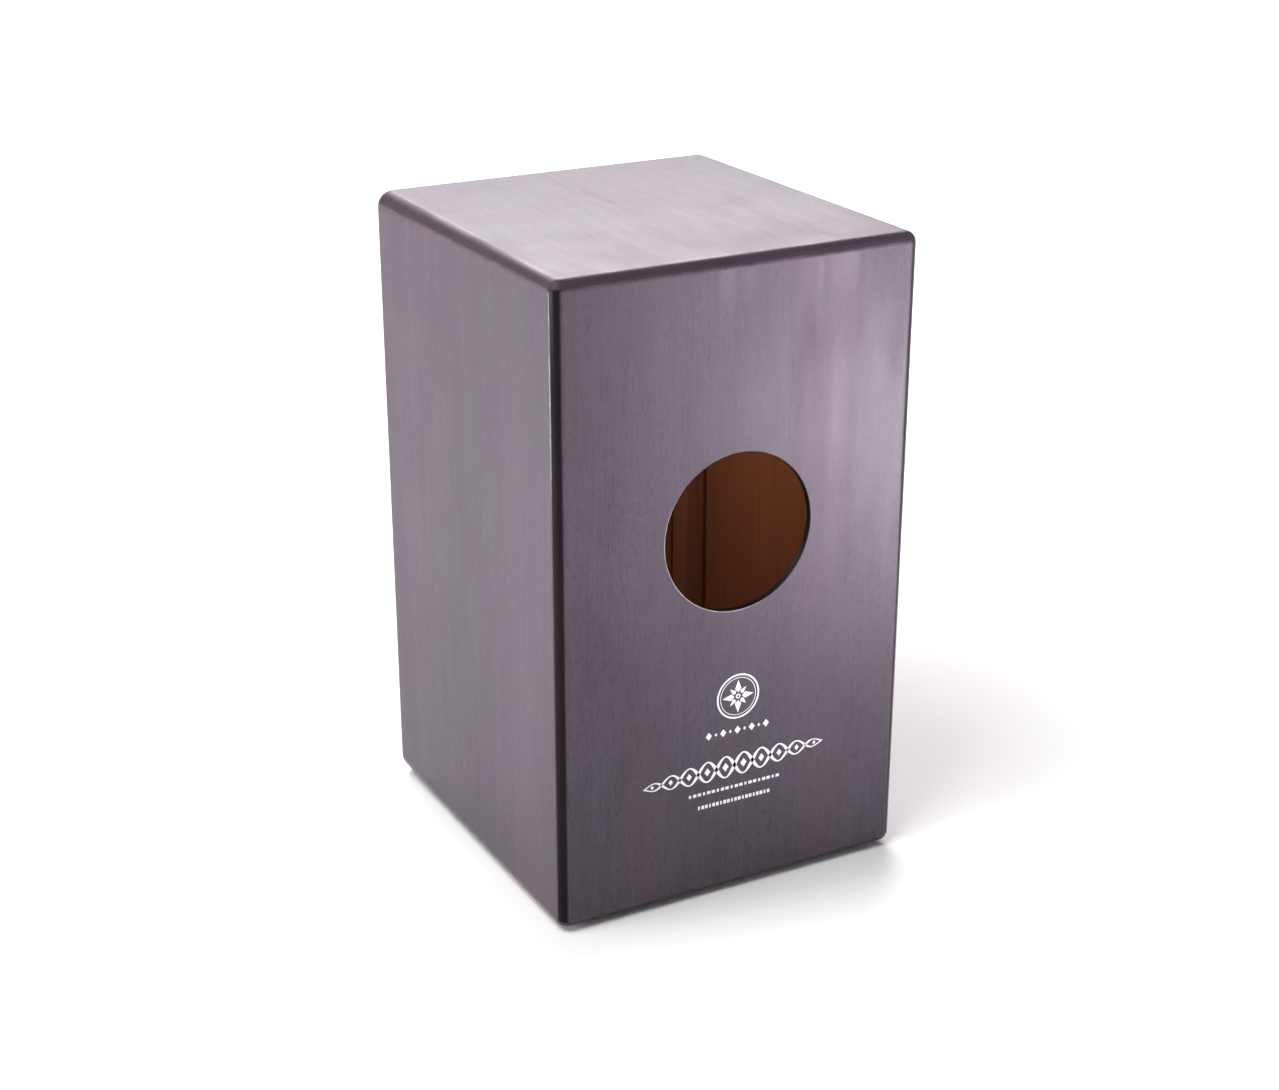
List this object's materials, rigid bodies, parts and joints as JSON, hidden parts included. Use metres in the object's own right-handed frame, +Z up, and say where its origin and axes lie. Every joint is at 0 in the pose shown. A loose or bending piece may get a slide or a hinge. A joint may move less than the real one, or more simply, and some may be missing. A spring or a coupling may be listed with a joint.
{
  "type": "cajon",
  "caption": "Box drum with a thin striking face, a round sound hole in the back and string snares tuned by hex screws from below.",
  "frame": {"origin": "on the floor, under the middle of the body", "axes": "+Z up; -Y out of the tapa, the striking face; +Y out of the back panel; +X to the right of a person who faces the tapa"},
  "size_m": [0.285, 0.302, 0.483],
  "materials": {
    "stained_wood": "purple-grey stain under satin lacquer",
    "inner_wood": "dark brown stain, unlacquered",
    "zinc_plate": "zinc plated",
    "screw_steel": "bright",
    "carrier_steel": "milled",
    "string_steel": "wound",
    "brass": "turned",
    "foot_rubber": "matt",
    "tapa_screw": "blackened"
  },
  "bodies": {
    "root": {"side_panel_left": "stained_wood", "side_panel_right": "stained_wood", "seat_panel": "stained_wood", "base_panel": "stained_wood", "back_panel": "stained_wood", "tapa": "stained_wood", "batten_left": "inner_wood", "batten_right": "inner_wood", "batten_top": "inner_wood", "batten_bottom": "inner_wood", "rear_strip_left": "inner_wood", "rear_strip_right": "inner_wood", "rear_strip_top": "inner_wood", "rear_strip_bottom": "inner_wood", "upper_bridge": "inner_wood", "lower_bridge": "inner_wood", "anchor_plate": "zinc_plate", "anchor_screws": "screw_steel", "top_ball_ends": "brass", "snare_strings_left": "string_steel", "snare_strings_right": "string_steel", "tuner_bracket_left": "zinc_plate", "tuner_bracket_right": "zinc_plate", "bracket_screws": "screw_steel", "key_bush_left": "brass", "key_bush_right": "brass", "foot_front_left": "foot_rubber", "foot_front_right": "foot_rubber", "foot_back_left": "foot_rubber", "foot_back_right": "foot_rubber", "foot_washers": "zinc_plate", "foot_screws": "screw_steel", "tapa_screws_top": "tapa_screw", "tapa_screws_left": "tapa_screw", "tapa_screws_right": "tapa_screw", "tapa_screws_bottom": "tapa_screw"},
    "tuner_screw_left": {"tuner_screw_left": "screw_steel", "retaining_ring_left": "screw_steel"},
    "tuner_screw_right": {"tuner_screw_right": "screw_steel", "retaining_ring_right": "screw_steel"},
    "carrier_left": {"carrier_left": "carrier_steel", "ball_ends_left": "brass"},
    "carrier_right": {"carrier_right": "carrier_steel", "ball_ends_right": "brass"}
  },
  "joints": [
    {"name": "tuner_left_turn", "type": "hinge", "parent": "root", "child": "tuner_screw_left", "pos_m": [-0.045, -0.104, 0.018], "axis": [0, 0, 1], "range_deg": [-1081, 721]},
    {"name": "tuner_right_turn", "type": "hinge", "parent": "root", "child": "tuner_screw_right", "pos_m": [0.045, -0.104, 0.018], "axis": [0, 0, 1], "range_deg": [-1081, 721]},
    {"name": "carrier_left_travel", "type": "slide", "parent": "root", "child": "carrier_left", "axis": [0, 0, -1], "range_m": [-0.003, 0.002], "deforming": ["snare_strings_left"]},
    {"name": "carrier_right_travel", "type": "slide", "parent": "root", "child": "carrier_right", "axis": [0, 0, -1], "range_m": [-0.003, 0.002], "deforming": ["snare_strings_right"]}
  ],
  "couplings": [
    {"joint": "tuner_left_turn", "follows": "carrier_left_travel", "rad_per_m": 6283.2},
    {"joint": "tuner_right_turn", "follows": "carrier_right_travel", "rad_per_m": 6283.2}
  ]
}
